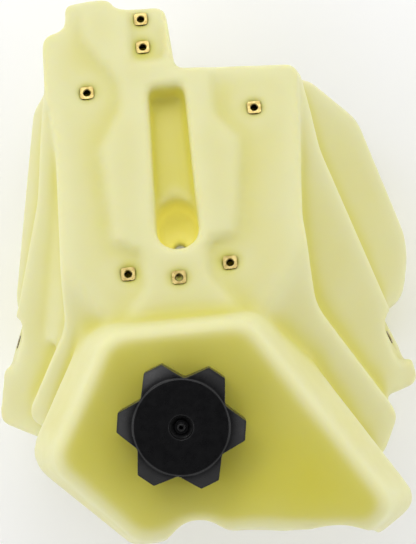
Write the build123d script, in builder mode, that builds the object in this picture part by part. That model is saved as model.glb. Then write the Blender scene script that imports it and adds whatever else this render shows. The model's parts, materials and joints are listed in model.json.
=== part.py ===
"""Off-road motorcycle fuel tank: a rotationally moulded saddle tank with its screw cap, vent, brass
inserts and fuel tap.

Row frame, millimetres: +Z up, -Y towards the steering head, +Y towards the saddle, +X the left side
of the vehicle. The origin is where the axis of the frame bolt crosses the roof of the frame tunnel.
The cap's axis is parallel to Z. The saddle deck falls towards the rear by DECK_SLOPE.
"""

import os
from math import cos, pi, radians, sin, sqrt

from build123d import *

# ---------------------------------------------------------------- driving dimensions
WALL = 5.0  # thickness of the moulded polyethylene
DECK_SLOPE = 20.0  # fall of the saddle deck towards the rear, degrees
DECK_HEIGHT = 60.0  # from the tunnel roof to the deck, square to both
FACE_Z = 122.0  # flat face that carries the filler neck
DOME_WAIST_Z = 60.0  # widest level of the front dome
DOME_BASE_Z = 5.0  # underside of the dome beside the tunnel
FOOT_Z = -150.0  # soles of the two wings
REAR_SOLE_Z = -92.0  # raised sole at the rear, where the fuel tap hangs
SHOULDER_BASE_Z = -25.0
TAB_BASE_Z = -58.0
SPINE_RISE = 4.0  # height of the raised spine on the deck
TUNNEL_ROOF_HALF = 46.0  # half width of the frame tunnel at its roof
TUNNEL_MOUTH_HALF = 62.0  # half width of the tunnel at the soles
TUNNEL_RADIUS = 14.0

FRAME_BOLT_R = 5.5  # clearance hole for the frame bolt
BOLT_SEAT = 12.0  # plastic under the bolt's head
WELL_WIDTH = 31.0
WELL_FRONT, WELL_REAR = -3.5, 12.5  # centres of the well's two round ends, along the deck
POCKET_DEPTH = 18.0
POCKET_REAR = 112.0  # end of the pocket, along the deck
POCKET_REAR_WIDTH = 27.0
TAB_RECESS_DEPTH = 5.0

MIDDLE_HALF = 49.0  # half width of the shell's middle segments
DOME_END = -58.0  # rear end of the dome, along the deck
FRONT_DECK_END = -27.0  # end of the front deck, along the deck
ROOF_SEGMENT = 14.0  # thickness of the segment over the tunnel, with the bolt's seat

INSERT_SQUARE = 10.0  # head of a brass insert, across flats
INSERT_HEAD = 2.0
INSERT_BODY_R = 4.0
INSERT_LENGTH = 12.0
INSERT_BORE_R = 2.5  # M6 core
INSERT_BORE_DEPTH = 10.0
INSERT_LEAD = 0.6  # bevel at the mouth of the bore
INSERT_CORNER_R = 2.0
GROOVE = 0.6  # depth of the grooves that lock an insert in the plastic
GROOVE_WIDTH = 1.2
GROOVE_DEPTHS = (5.0, 8.5)  # from the seat
BOSS_R = 8.5  # plastic round an insert inside the tank
BOSS_COVER = 4.0  # plastic behind an insert

CAP_CENTRE = (-7.5, -118.0)
CAP_RISE = 28.0  # from the face of the tank to the top of the cap
CAP_DISC_R = 33.0
CAP_LOBE_R = 44.0  # to the corners of the lobes
CAP_VALLEY_R = 34.2  # to the bottom of the valleys
CAP_LOBES = 6
CAP_LOBE_HALF = 8.6  # half the angle between the two corners of a lobe
CAP_CORNER_R = 1.2
CAP_VALLEY_FILLET = 7.0
VALLEY_OPENING = 122.6  # angle between the two flanks of a valley
LOBE_DROP = 5.0  # fall of a lobe's top from the disc to its tip
DISC_STEP = 0.8  # from the disc down to the tops of the lobes
CAP_PHASE = -8.5  # turn of the cap at rest, degrees
CAP_PLATE = 4.0  # thickness of the cap's top
CAP_GAP = 1.5  # from the cap's rim to the face of the tank
NECK_BORE_R = 24.0
NECK_ROOT_R = 28.5
THREAD_HEIGHT = 2.0  # how far each thread stands out
THREAD_PITCH = 5.0
THREAD_FOOT = 2.2  # axial width of a thread at its root
THREAD_TIP = 1.1
THREAD_RISE = 6.0  # from the face of the tank to the start of the neck's thread
THREAD_SINK = 0.3  # how far a thread's root is sunk in its wall
THREAD_GAP = 0.3  # radial gap between each thread's crest and the other's root
NECK_TURNS = 2.5
CAP_TURNS = 2.0
NECK_LIP_R = 1.0
NECK_FLANGE_R = 34.0
NECK_FLANGE = 2.0
GASKET = 2.5

VENT_RECESS_R = 8.2
VENT_RECESS = 5.0
VENT_FLOOR = 3.0  # plastic under the recess
VENT_WALL = 2.0  # plastic round the recess, inside the cap
VENT_STEM_R = 3.2
VENT_NIPPLE_R = 2.7
VENT_NIPPLE_RISE = 1.0  # above the cap
VENT_BORE_R = 1.5
VENT_BARREL_R = 5.0
VENT_BARREL = 10.0
VENT_CHAMBER_R = 2.4
VENT_CHAMBER_ROOF = 2.5
VENT_LEAD = 0.5  # bevel at the nipple's end
VENT_PLUG_R = 3.4
VENT_PLUG = 2.0
VENT_PLUG_HOLE_R = 1.2
VENT_BALL_R = 2.0
VENT_RING_R = 4.6
VENT_RING = 1.2
END_PLAY = 0.1
RUNNING = 0.06  # radial clearance of a piece that turns in its hole

TAP_X, TAP_Y = 96.0, 92.0
TAP_BOLT_SPACING = 40.0
TAP_OUTLET_R = 12.0  # hole in the tank's sole
TAP_SEAL = 1.5
TAP_FLANGE = 6.0
TAP_FLANGE_WIDTH = 26.0
TAP_BODY_SIZE = 26.0
TAP_CORNER_R = 4.0
TAP_AXIS_DROP = 20.0  # from the top of the flange to the axis of the rotor
TAP_PORT_RING = 4.0  # radius on which the three ports lie
TAP_PORT_R = 1.4
TAP_PASSAGE_R = 2.0
TAP_PORT_WALL = 1.0  # metal between the passages and the rotor's bore
ROTOR_R = 7.0
ROTOR_LENGTH = 10.0
VALVE_SEAL = 3.0
DISC_SPRING = 2.0
SPRING_SHEET = 0.5
SPRING_HOLE_GAP = 0.6
SPRING_RIM_GAP = 0.4
ROTOR_GROOVE = 2.5  # depth of the groove that joins two ports
STEM_R = 4.0
STEM_END_R = 3.0
STEM_FLAT = 2.2  # from the axis to the flat of the stem's end
COVER = 2.0
COVER_SCREW_R = 1.5
COVER_SCREW_LENGTH = 8.0
COVER_HOLE_GAP = 0.2
COVER_SCREW_PITCH = 20.0
LEVER_GAP = 2.0  # clears the heads of the cover screws
LEVER_THICKNESS = 5.0
LEVER_LENGTH = 27.0
LEVER_HUB_R = 6.5
LEVER_TIP_R = 3.6
LEVER_EDGE_R = 1.0
LEVER_SCREW_R = 1.25
LEVER_SCREW_LENGTH = 5.0
LEVER_HOLE = 6.0  # depth of the threaded hole in the rotor's end
STANDPIPE_R = 3.0
STANDPIPE_BORE_R = 2.2
STANDPIPE_HEIGHT = 38.0
STRAINER_R = 5.5
STRAINER_WALL = 0.8
STRAINER_LOW = 4.0  # from the flange to the strainer
STRAINER_ROOM = 4.0  # from the standpipe's mouth to the strainer's top
STRAINER_FOOT = 2.0
WINDOW_ROWS = 4
WINDOW_START = 5.0
WINDOW_PITCH = 8.0
WINDOW_HEIGHT = 6.0
WINDOW_WIDTH = 3.0
SPIGOT_R = 3.6
SPIGOT_BORE_R = 2.2
SPIGOT_LENGTH = 20.0
SPIGOT_LEAD = 0.8  # bevel at the free end
MOUNT_SCREW_R = 2.9
MOUNT_HOLE_R = 3.3
MOUNT_HEAD_FLATS = 10.0
MOUNT_HEAD = 5.0
WASHER_R = 6.0
WASHER = 1.2
MOUNT_CORE_GAP = 0.2  # from the insert's mouth to the screw's core
MOUNT_REACH = 8.0  # how far the core reaches into the insert
THREAD_FIT = 0.1  # radial clearance between a screw's core and its threaded hole

SIN, COS = sin(radians(DECK_SLOPE)), cos(radians(DECK_SLOPE))
NORMAL = Vector(0, SIN, COS)  # square to the deck
SKY_Z = 220.0  # above everything
FAR = 400.0  # beyond the tank on every side
CAP_TOP_Z = FACE_Z + CAP_RISE
NECK_TOP_Z = CAP_TOP_Z - CAP_PLATE - GASKET
os.makedirs("parts", exist_ok=True)


# ---------------------------------------------------------------- helpers
def inset_outline(points, distance):
    """A counter-clockwise outline with every side moved inwards by distance."""
    count = len(points)
    sides = []
    for i in range(count):
        (x0, y0), (x1, y1) = points[i], points[(i + 1) % count]
        length = sqrt((x1 - x0) ** 2 + (y1 - y0) ** 2)
        nx, ny = -(y1 - y0) / length, (x1 - x0) / length
        sides.append((nx, ny, nx * x0 + ny * y0 + distance))
    moved = []
    for i in range(count):
        (a, b, e), (c, d, f) = sides[i - 1], sides[i]
        det = a * d - b * c
        moved.append(((e * d - b * f) / det, (a * f - e * c) / det))
    return moved


def corner_radii(radii, inset):
    """The radii of an outline's corners once it is moved inwards."""
    smallest = 2.0
    return [max(r - inset, smallest) for r in radii]


def prism(plane, points, radii, height, inset=0.0):
    """An outline with rounded corners, moved in by inset and drawn out along its plane's normal."""
    with BuildPart() as solid:
        with BuildSketch(plane):
            with BuildLine():
                corners = inset_outline(points, inset)
                FilletPolyline(*corners, radius=corner_radii(radii, inset), close=True)
            make_face()
        extrude(amount=height)
    return solid.part


def frustum(low_z, low, low_inset, high_z, high, high_inset):
    """A solid with straight walls between two outlines, each given as its points and radii."""
    with BuildPart() as solid:
        for z, (points, radii), inset in ((low_z, low, low_inset), (high_z, high, high_inset)):
            with BuildSketch(Plane.XY.offset(z)):
                with BuildLine():
                    corners = inset_outline(points, inset)
                    FilletPolyline(*corners, radius=corner_radii(radii, inset), close=True)
                make_face()
        loft(ruled=True)
    return solid.part


def cylinder(plane, radius, height):
    with BuildPart() as solid:
        with BuildSketch(plane):
            Circle(radius)
        extrude(amount=height)
    return solid.part


def plane_through(a, b, c):
    """The plane through three points, its normal upwards."""
    a, b, c = Vector(*a), Vector(*b), Vector(*c)
    normal = (b - a).cross(c - a).normalized()
    return Plane(origin=a, z_dir=normal if normal.Z > 0 else -normal)


def deck_plane(height):
    """The plane parallel to the deck at a height above the tunnel roof."""
    return Plane(origin=NORMAL * height, x_dir=(1, 0, 0), z_dir=NORMAL)


def on_deck(x, y, height=DECK_HEIGHT):
    """The plane on the deck above a point of the plan, its normal out of the deck."""
    return Plane(origin=(x, y, (height - y * SIN) / COS), x_dir=(1, 0, 0), z_dir=NORMAL)


def below(part, *planes):
    """What of a part lies under every one of the planes."""
    for plane in planes:
        part = split(part, bisect_by=plane, keep=Keep.BOTTOM)
    return part


# ---------------------------------------------------------------- the form of the tank
DOME_WAIST = (
    [(-70, -42), (-124, -140), (-51, -210), (30, -205), (70, -209), (126, -217), (159, -194), (61, -42)],
    [30, 24, 16, 40, 40, 12, 14, 26],
)
DOME_FACE = (
    [(-52, -52), (-100, -138), (-44, -197), (30, -193), (66, -197), (112, -204), (134, -188), (42, -50)],
    [22, 20, 16, 40, 40, 16, 16, 22],
)
DOME_EDGE_R = 11.0
STEM_NOTCH = (-3.0, -208.5, 22.7)  # x, y and radius of the notch for the steering stem
FORK_SCOOP = (91.0, -239.7, 42.0)  # x, y and radius of the shallow scoop beside it

SHOULDER = (
    [
        (-91, 145), (-86, 84), (-88, -46), (-128, -114), (-104, -128), (128, -170), (141, -164),
        (155, -136), (96, -46), (92, 20), (101, 135.5),
    ],
    [10, 60, 30, 10, 10, 10, 10, 14, 40, 60, 8],
)
TAB = (
    [
        (-92, 174), (-92, 118), (14, 118), (8, 141), (4, 190), (-35, 191), (-37, 200), (-73, 199),
        (-73, 179),
    ],
    [10, 4, 4, 10, 6, 4, 6, 5, 7],
)
WING = (
    [
        (-92, 138), (-105, 50), (-129, -28), (-144, -64), (-155, -120), (-100, -140), (100, -134),
        (177, -117), (171.5, -88), (158, -57), (112, 70), (102, 133),
    ],
    [8, 80, 60, 40, 9, 20, 20, 8, 30, 40, 80, 8],
)
LOBE_LEFT = (
    [(70, 127), (70, -60), (172, -60), (185, -8), (149, 96), (111, 127)],
    [4, 4, 26, 60, 24, 12],
)
LOBE_RIGHT = (
    [(-92, 133), (-105, 121), (-135.5, -26), (-126, -58), (-62, -58), (-62, 133)],
    [6, 16, 24, 14, 4, 4],
)

SPINE = (
    [
        (-60, 205), (-60, 169), (-35, 134), (-34, 113), (-51, 82), (-46, 13), (-26, 3), (-25, -22),
        (-44, -44), (-30, -70), (30, -70), (42, -44), (19, -18), (19, 6), (42, 13), (51, 80),
        (34, 102), (33, 150), (12, 205),
    ],
    [3, 14, 14, 18, 8, 6, 9, 14, 8, 4, 4, 8, 14, 9, 6, 8, 18, 4, 3],
)

TAB_RECESS = ([(-25, 240), (-25, 147), (3, 147), (3, 240)], [2, 4, 4, 2])
SOLE_LEAD = 11.0  # from the corner of the raised sole to the tap's flange
SOLE_LEAN = 24.0  # how far that corner's wall leans forwards on its way down
sole_front = TAP_Y - (TAP_BOLT_SPACING + TAP_FLANGE_WIDTH) / 2 - SOLE_LEAD
REAR_RISE = (
    [(sole_front - SOLE_LEAN, -155), (240, -155), (240, REAR_SOLE_Z), (sole_front, REAR_SOLE_Z)],
    [2, 2, 2, 14],
)
FRONT_SWEEP = ([(-170, -155), (-84, -155), (-170, -38)], [2, 10, 2])

SHOULDER_PLANES = [
    ((-96, 2, 61), (-50, -62, 76), (-127, -112, 6)),
    ((98, 2, 61), (62, -64, 76), (152, -136, 6)),
]
SHELF_PLANES = [
    ((-92, 128, 18), (-128, -28, -18), (-85, -28, 20)),
    ((101, 130, 18), (153, -50, -18), (98, -50, 25)),
]
LOBE_LEFT_PLANE = ((110, 130, -25), (150, -55, -45), (181, 0, -82))
LOBE_RIGHT_PLANE = ((-105, 130, -25), (-128, -40, -40), (-146, 0, -82))
SOLE_EDGE = 9.0  # how far the walls lean in between mid height and the soles
WING_MID_Z = -40.0
LOBE_MID_Z = -88.0
LOBE_TUCK = 12.0

# x, y and z of each side insert, and the heading of its axis
SIDE_INSERTS = [(160.0, -80.0, -62.0, 22.0), (-136.5, -58.0, -62.0, 159.0)]
SIDE_RECESS = (40.0, 56.0, 4.0)  # along the wall, up the wall, into it
SIDE_CORNER_R = 6.0
SIDE_LEAN = 10.0  # how much the recess faces upwards, degrees


def lowered(points, inset):
    """The plane through three points, moved down into the tank by inset."""
    return plane_through(*points).offset(-inset)


def dome_form(inset):
    blank = frustum(DOME_WAIST_Z, DOME_WAIST, inset, FACE_Z - inset, DOME_FACE, inset)
    with BuildPart() as dome:
        add(blank)
        fillet(dome.faces().sort_by(Axis.Z)[-1].edges(), DOME_EDGE_R - inset)
    base = frustum(DOME_BASE_Z + inset, DOME_WAIST, inset + SOLE_EDGE, DOME_WAIST_Z, DOME_WAIST, inset)
    return [dome.part, base]


def shoulder_form(inset):
    shoulder = prism(Plane.XY.offset(SHOULDER_BASE_Z + inset), *SHOULDER, SKY_Z, inset)
    tab = prism(Plane.XY.offset(TAB_BASE_Z + inset), *TAB, SKY_Z, inset)
    spine = prism(Plane.XY.offset(SHOULDER_BASE_Z + inset), *SPINE, SKY_Z, inset)
    with BuildPart() as tab_spine:
        add(tab)
        add(spine, mode=Mode.INTERSECT)
    with BuildPart() as deck_spine:
        add(shoulder)
        add(spine, mode=Mode.INTERSECT)
    deck = deck_plane(DECK_HEIGHT - inset)
    raised = deck_plane(DECK_HEIGHT + SPINE_RISE - inset)
    sides = [lowered(points, inset) for points in SHOULDER_PLANES]
    return [
        below(shoulder, deck, *sides),
        below(tab, deck),
        below(tab_spine.part, raised),
        below(deck_spine.part, raised),
    ]


def wing_form(inset):
    sole = frustum(FOOT_Z + inset, WING, inset + SOLE_EDGE, WING_MID_Z, WING, inset)
    upper = prism(Plane.XY.offset(WING_MID_Z), *WING, SKY_Z, inset)
    deck = deck_plane(DECK_HEIGHT - 2 * WALL - inset)
    forms = [sole, below(upper, deck, *[lowered(points, inset) for points in SHELF_PLANES])]
    for lobe, top in ((LOBE_LEFT, LOBE_LEFT_PLANE), (LOBE_RIGHT, LOBE_RIGHT_PLANE)):
        forms.append(frustum(FOOT_Z + inset, lobe, inset + LOBE_TUCK, LOBE_MID_Z, lobe, inset))
        lobe_top = prism(Plane.XY.offset(LOBE_MID_Z), *lobe, SKY_Z, inset)
        forms.append(below(lobe_top, deck.offset(-WALL), lowered(top, inset)))
    return forms


def voids_form(inset):
    """Everything that is cut out of the tank's outer form, grown by inset."""
    # frame tunnel, its roof parallel to the deck
    roof, mouth = TUNNEL_ROOF_HALF + inset, TUNNEL_MOUTH_HALF + inset
    tunnel_section = [
        (-mouth, FOOT_Z - SKY_Z), (mouth, FOOT_Z - SKY_Z), (mouth, FOOT_Z), (roof, inset),
        (-roof, inset), (-mouth, FOOT_Z),
    ]
    ahead = Vector(0, -COS, SIN)
    tunnel = prism(
        Plane(origin=ahead * -SKY_Z, x_dir=(1, 0, 0), z_dir=ahead),
        tunnel_section,
        [2, 2, 40, TUNNEL_RADIUS, TUNNEL_RADIUS, 40],
        2 * SKY_Z,
    )
    # rising sole at the rear and swept lower corner at the front
    rear = prism(Plane.YZ.offset(-SKY_Z), *REAR_RISE, 2 * SKY_Z, -inset)
    front = prism(Plane.YZ.offset(-SKY_Z), *FRONT_SWEEP, 2 * SKY_Z, -inset)
    # notch for the steering stem and scoop for the fork
    scoops = [
        cylinder(Plane(origin=(x, y, DOME_BASE_Z - WALL)), radius + inset, SKY_Z)
        for x, y, radius in (STEM_NOTCH, FORK_SCOOP)
    ]
    # pocket and bolt well; the plastic is solid between the well and the tunnel
    wide, narrow = WELL_WIDTH / 2 + inset, POCKET_REAR_WIDTH / 2 + inset
    pocket_outline = [
        (-wide, WELL_FRONT), (wide, WELL_FRONT), (narrow, POCKET_REAR + inset),
        (-narrow, POCKET_REAR + inset),
    ]
    pocket = prism(
        deck_plane(DECK_HEIGHT - POCKET_DEPTH - inset), pocket_outline, [2, 2, 6, 6], 2 * POCKET_DEPTH
    )
    with BuildPart() as well:
        with BuildSketch(deck_plane(BOLT_SEAT - 2 * inset)):
            with Locations((0, (WELL_FRONT + WELL_REAR) / 2)):
                SlotCenterToCenter(WELL_REAR - WELL_FRONT, 2 * wide, rotation=90)
        extrude(amount=DECK_HEIGHT)
    # recess of the tab, open at its rear end
    recess = prism(Plane.XY.offset(TAB_BASE_Z), *TAB_RECESS, SKY_Z, -inset)
    floor = deck_plane(DECK_HEIGHT + SPINE_RISE - TAB_RECESS_DEPTH - inset)
    cuts = [tunnel, rear, front, *scoops, pocket, well.part, split(recess, floor, Keep.TOP)]
    along, up, into = SIDE_RECESS
    for place in SIDE_INSERTS:
        with BuildPart() as side:
            with BuildSketch(side_plane(*place).offset(-inset)):
                with Locations((0, up / 4)):
                    RectangleRounded(along + 2 * inset, up + 2 * inset, SIDE_CORNER_R + inset)
            extrude(amount=4 * into + inset)
        cuts.append(side.part)
    return cuts


def side_plane(x, y, z, heading):
    """The seat of a side insert: its normal heads out of the wing and leans up by SIDE_LEAN."""
    out, lean = radians(heading), radians(SIDE_LEAN)
    normal = Vector(cos(out) * cos(lean), sin(out) * cos(lean), sin(lean))
    return Plane(origin=(x, y, z), x_dir=(-sin(out), cos(out), 0), z_dir=normal)


def tank_form(inset):
    """The tank's outer form, or the cavity that leaves a wall of inset."""
    pieces = dome_form(inset) + shoulder_form(inset) + wing_form(inset)
    cuts = voids_form(inset)
    with BuildPart() as form:
        add(pieces, clean=False)
        add(cuts, mode=Mode.SUBTRACT, clean=False)
    return form.part


# ---------------------------------------------------------------- brass inserts
TAB_FLOOR = DECK_HEIGHT + SPINE_RISE - TAB_RECESS_DEPTH
INSERT_GROUPS = {
    "tab_inserts": [on_deck(-15.0, 181.5, TAB_FLOOR), on_deck(-15.0, 159.0, TAB_FLOOR)],
    "rear_deck_inserts": [on_deck(-59.5, 126.5), on_deck(64.5, 104.0)],
    "front_deck_inserts": [
        on_deck(-38.0, -12.0),
        on_deck(-1.5, -17.5, DECK_HEIGHT + SPINE_RISE),
        on_deck(36.0, -10.0),
    ],
    "side_inserts": [side_plane(*place) for place in SIDE_INSERTS],
    "tap_inserts": [
        Plane(origin=(TAP_X, TAP_Y + shift, REAR_SOLE_Z), x_dir=(1, 0, 0), z_dir=(0, 0, -1))
        for shift in (-TAP_BOLT_SPACING / 2, TAP_BOLT_SPACING / 2)
    ],
}


def insert_seat(seat):
    """The space that an insert fills, from its seat inwards."""
    with BuildPart() as space:
        with BuildSketch(seat):
            RectangleRounded(INSERT_SQUARE, INSERT_SQUARE, INSERT_CORNER_R)
        extrude(amount=-INSERT_HEAD)
        with BuildSketch(seat):
            Circle(INSERT_BODY_R)
        extrude(amount=-INSERT_LENGTH)
    return space.part


def brass_insert(seat):
    blank = insert_seat(seat)
    with BuildPart() as insert:
        add(blank)
        for depth in GROOVE_DEPTHS:
            with BuildSketch(seat.offset(-depth)):
                Circle(INSERT_BODY_R)
                Circle(INSERT_BODY_R - GROOVE, mode=Mode.SUBTRACT)
            extrude(amount=-GROOVE_WIDTH, mode=Mode.SUBTRACT)
        with BuildSketch(seat):
            Circle(INSERT_BORE_R)
        extrude(amount=-INSERT_BORE_DEPTH, mode=Mode.SUBTRACT)
        chamfer(insert.faces().sort_by(seat_axis(seat))[-1].inner_wires()[0].edges(), INSERT_LEAD)
    return insert.part


def seat_axis(seat):
    return Axis(seat.origin, seat.z_dir)


def insert_boss(seat):
    with BuildPart() as boss:
        with BuildSketch(seat.offset(-INSERT_HEAD)):
            Circle(BOSS_R)
        extrude(amount=-(INSERT_LENGTH + BOSS_COVER - INSERT_HEAD))
    return boss.part


# ---------------------------------------------------------------- filler neck
CAP_PLANE = Plane(origin=(*CAP_CENTRE, 0), z_dir=(0, 0, 1))


def thread_ridge(root_r, height, start_z, length):
    """A helical ridge of trapezoid section round the cap's axis; a negative height points inwards."""
    sink = THREAD_SINK if height > 0 else -THREAD_SINK
    with BuildPart() as ridge:
        with BuildLine():
            path = Helix(THREAD_PITCH, length, root_r, center=(*CAP_CENTRE, start_z))
        with BuildSketch(Plane(origin=path @ 0, x_dir=(1, 0, 0), z_dir=path % 0)):
            with BuildLine():
                Polyline(
                    (-sink, -THREAD_FOOT / 2), (height, -THREAD_TIP / 2), (height, THREAD_TIP / 2),
                    (-sink, THREAD_FOOT / 2), close=True,
                )
            make_face()
        sweep(path=path, is_frenet=True)
    return ridge.part


neck_thread_z = FACE_Z + THREAD_RISE
neck_thread = thread_ridge(NECK_ROOT_R, THREAD_HEIGHT, neck_thread_z, NECK_TURNS * THREAD_PITCH)
with BuildPart() as filler_neck:
    with BuildSketch(CAP_PLANE.offset(FACE_Z - WALL)):
        Circle(NECK_ROOT_R)
        Circle(NECK_BORE_R, mode=Mode.SUBTRACT)
    extrude(amount=NECK_TOP_Z - FACE_Z + WALL)
    with BuildSketch(CAP_PLANE.offset(FACE_Z - WALL + (WALL - NECK_FLANGE) / 2)):
        Circle(NECK_FLANGE_R)
        Circle(NECK_BORE_R, mode=Mode.SUBTRACT)
    extrude(amount=NECK_FLANGE)
    fillet(filler_neck.faces().sort_by(Axis.Z)[-1].edges(), NECK_LIP_R)
    add(neck_thread)
filler_neck.part.label = "filler_neck"
export_step(filler_neck.part, "parts/filler_neck.step")

# ---------------------------------------------------------------- the moulded shell
outer_form = tank_form(0.0)
inner_form = tank_form(WALL)
all_seats = [seat for seats in INSERT_GROUPS.values() for seat in seats]
bosses = [insert_boss(seat) for seat in all_seats]
insert_spaces = [insert_seat(seat) for seat in all_seats]
with BuildPart() as tank_shell:
    add(outer_form, clean=False)
    add(inner_form, mode=Mode.SUBTRACT, clean=False)
    add(bosses, clean=False)
    add(insert_spaces, mode=Mode.SUBTRACT, clean=False)
    # the neck is moulded in: its flange is locked in the wall
    with BuildSketch(CAP_PLANE.offset(FACE_Z - 2 * WALL)):
        Circle(NECK_ROOT_R)
    extrude(amount=3 * WALL, mode=Mode.SUBTRACT, clean=False)
    with BuildSketch(CAP_PLANE.offset(FACE_Z - WALL + (WALL - NECK_FLANGE) / 2)):
        Circle(NECK_FLANGE_R)
    extrude(amount=NECK_FLANGE, mode=Mode.SUBTRACT, clean=False)
    # frame bolt
    with BuildSketch(deck_plane(-WALL)):
        Circle(FRAME_BOLT_R)
    extrude(amount=DECK_HEIGHT, mode=Mode.SUBTRACT, clean=False)
    # outlet to the fuel tap
    with BuildSketch(Plane.XY.offset(REAR_SOLE_Z - WALL)):
        with Locations((TAP_X, TAP_Y)):
            Circle(TAP_OUTLET_R)
    extrude(amount=4 * WALL, mode=Mode.SUBTRACT, clean=False)


# The moulding's segments butt on planes: two wings, and the tunnel roof and two decks between them,
# all of them behind or below the dome.
def on_side(along, height):
    """A point of the side view, (y, z), from its place along the deck and its height above the roof."""
    return (along * COS + height * SIN, height * COS - along * SIN)


def shell_segment(low_x, high_x, profile):
    """What of the shell lies between two x planes and inside a profile of the side view."""
    with BuildPart() as segment:
        add(tank_shell.part)
        with BuildSketch(Plane.YZ.offset(low_x)):
            with BuildLine():
                Polyline(*profile, close=True)
            make_face()
        extrude(amount=high_x - low_x, mode=Mode.INTERSECT, clean=False)
    return segment.part


dome_corner = (DOME_END / COS, 0)
dome_top = on_side(DOME_END, FAR)
roof_front, roof_rear = on_side(DOME_END, ROOF_SEGMENT), on_side(FAR, ROOF_SEGMENT)
front_deck_low, front_deck_top = on_side(FRONT_DECK_END, ROOF_SEGMENT), on_side(FRONT_DECK_END, FAR)
dome_profile = [(-FAR, 0), dome_corner, dome_top, (-FAR, FAR)]
wing_profile = [(-FAR, -FAR), (FAR, -FAR), (FAR, FAR), dome_top, dome_corner, (-FAR, 0)]
roof_profile = [(-FAR, -FAR), (FAR, -FAR), roof_rear, roof_front, dome_corner, (-FAR, 0)]
front_deck_profile = [roof_front, front_deck_low, front_deck_top, dome_top]
rear_deck_profile = [front_deck_low, roof_rear, on_side(FAR, FAR), front_deck_top]
SHELL_SEGMENTS = {
    "tank_dome": (-FAR, FAR, dome_profile),
    "tank_wing_left": (MIDDLE_HALF, FAR, wing_profile),
    "tank_wing_right": (-FAR, -MIDDLE_HALF, wing_profile),
    "tank_tunnel_roof": (-MIDDLE_HALF, MIDDLE_HALF, roof_profile),
    "tank_front_deck": (-MIDDLE_HALF, MIDDLE_HALF, front_deck_profile),
    "tank_rear_deck": (-MIDDLE_HALF, MIDDLE_HALF, rear_deck_profile),
}
for name, extent in SHELL_SEGMENTS.items():
    segment = shell_segment(*extent)
    segment.label = name
    export_step(segment, f"parts/{name}.step")

for name, seats in INSERT_GROUPS.items():
    group = Compound(label=name, children=[brass_insert(seat) for seat in seats])
    export_step(group, f"parts/{name}.step")


# ---------------------------------------------------------------- cap
RIM_Z = FACE_Z + CAP_GAP
CAP_BORE_R = NECK_ROOT_R + THREAD_HEIGHT + THREAD_GAP
PLATE_Z = CAP_TOP_Z - CAP_PLATE
RECESS_Z = CAP_TOP_Z - VENT_RECESS
CAP_TURNED = Plane(origin=(*CAP_CENTRE, 0), x_dir=(cos(radians(CAP_PHASE)), sin(radians(CAP_PHASE)), 0))


# two corners on each lobe, then the bottom of the valley before the next one
valley_half = pi / CAP_LOBES
valley_depth = CAP_VALLEY_FILLET * (1 / sin(radians(VALLEY_OPENING / 2)) - 1)
cap_corners = []
cap_corner_radii = []
for lobe in range(CAP_LOBES):
    heading = 2 * pi * lobe / CAP_LOBES
    for turn in (-radians(CAP_LOBE_HALF), radians(CAP_LOBE_HALF)):
        cap_corners.append((CAP_LOBE_R * cos(heading + turn), CAP_LOBE_R * sin(heading + turn)))
        cap_corner_radii.append(CAP_CORNER_R)
    reach = CAP_VALLEY_R - valley_depth
    cap_corners.append((reach * cos(heading + valley_half), reach * sin(heading + valley_half)))
    cap_corner_radii.append(CAP_VALLEY_FILLET)
cap_thread_z = neck_thread_z + THREAD_PITCH / 2
cap_thread = thread_ridge(CAP_BORE_R, -THREAD_HEIGHT, cap_thread_z, CAP_TURNS * THREAD_PITCH)
with BuildPart() as cap_body:
    with BuildSketch(CAP_TURNED.offset(RIM_Z)):
        with BuildLine():
            FilletPolyline(*cap_corners, radius=cap_corner_radii, close=True)
        make_face()
    extrude(amount=CAP_TOP_Z - RIM_Z)
    # the tops of the lobes fall away outside the disc
    with BuildSketch(Plane(origin=(*CAP_CENTRE, 0), x_dir=(1, 0, 0), z_dir=(0, -1, 0))):
        with BuildLine():
            Polyline(
                (CAP_DISC_R, CAP_TOP_Z - DISC_STEP), (CAP_LOBE_R + 1, CAP_TOP_Z - LOBE_DROP),
                (CAP_LOBE_R + 1, CAP_TOP_Z + 1), (CAP_DISC_R, CAP_TOP_Z + 1), close=True,
            )
        make_face()
    revolve(axis=Axis((*CAP_CENTRE, 0), (0, 0, 1)), mode=Mode.SUBTRACT)
    with BuildSketch(CAP_PLANE.offset(RIM_Z)):
        Circle(CAP_BORE_R)
    extrude(amount=PLATE_Z - RIM_Z, mode=Mode.SUBTRACT)
    # vent recess and the boss below it
    with BuildSketch(CAP_PLANE.offset(RECESS_Z - VENT_FLOOR)):
        Circle(VENT_RECESS_R + VENT_WALL)
    extrude(amount=PLATE_Z - RECESS_Z + VENT_FLOOR)
    with BuildSketch(CAP_PLANE.offset(RECESS_Z)):
        Circle(VENT_RECESS_R)
    extrude(amount=VENT_RECESS, mode=Mode.SUBTRACT)
    with BuildSketch(CAP_PLANE.offset(RECESS_Z - VENT_FLOOR)):
        Circle(VENT_STEM_R + RUNNING)
    extrude(amount=VENT_FLOOR, mode=Mode.SUBTRACT)
    add(cap_thread)
cap_body.part.label = "cap_body"
export_step(cap_body.part, "parts/cap_body.step")

with BuildPart() as cap_gasket:
    with BuildSketch(CAP_PLANE.offset(PLATE_Z - GASKET)):
        Circle(CAP_BORE_R - THREAD_GAP)
        Circle(NECK_BORE_R, mode=Mode.SUBTRACT)
    extrude(amount=GASKET)
cap_gasket.part.label = "cap_gasket"
export_step(cap_gasket.part, "parts/cap_gasket.step")

# ---------------------------------------------------------------- vent
BARREL_TOP_Z = RECESS_Z - VENT_FLOOR - END_PLAY
BARREL_Z = BARREL_TOP_Z - VENT_BARREL
CHAMBER_TOP_Z = BARREL_TOP_Z - VENT_CHAMBER_ROOF
NIPPLE_Z = RECESS_Z + END_PLAY + VENT_RING

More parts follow.
